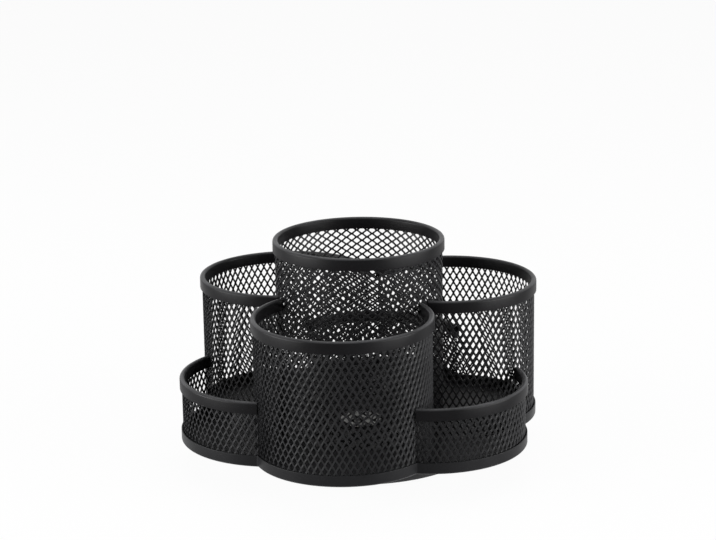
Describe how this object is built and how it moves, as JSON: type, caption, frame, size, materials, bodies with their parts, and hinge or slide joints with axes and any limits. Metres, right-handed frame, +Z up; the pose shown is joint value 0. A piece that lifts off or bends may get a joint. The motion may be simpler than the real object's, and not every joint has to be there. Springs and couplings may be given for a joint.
{
  "type": "rotating desk organizer",
  "caption": "Round steel-mesh desk carousel with a tall centre cup, half-height cups and low open trays on a pan that turns on a low round base.",
  "frame": {"origin": "on the turning axis, at the level of the desk that the pads stand on", "axes": "+Z up along the turning axis, -Y towards the front cup, +X to the right of the front cup"},
  "size_m": [0.1614, 0.1726, 0.1019],
  "materials": {
    "mesh": "satin black powder coat on expanded steel",
    "rim": "satin black powder coat on folded steel strip",
    "pan": "semi-gloss black powder coat on pressed steel",
    "bush": "natural nylon",
    "base": "satin black moulded plastic",
    "pad": "black rubber",
    "washer": "zinc-plated steel",
    "screw": "zinc-plated steel"
  },
  "bodies": {
    "base": {"base": "base", "foot_pads": "pad", "pivot_washer": "washer", "pivot_screw": "screw"},
    "carousel": {"pan": "pan", "pivot_bush": "bush", "centre_cup_wall": "mesh", "front_cup_wall": "mesh", "right_cup_wall": "mesh", "left_cup_wall": "mesh", "right_tray_wall": "mesh", "back_tray_wall": "mesh", "left_tray_wall": "mesh", "centre_cup_rim": "rim", "front_cup_rim": "rim", "right_cup_rim": "rim", "left_cup_rim": "rim", "right_tray_rim": "rim", "back_tray_rim": "rim", "left_tray_rim": "rim"}
  },
  "joints": [
    {"name": "carousel_spin", "type": "hinge", "parent": "base", "child": "carousel", "pos_m": [0, 0, 0.0094], "axis": [0, 0, 1], "continuous": true}
  ]
}
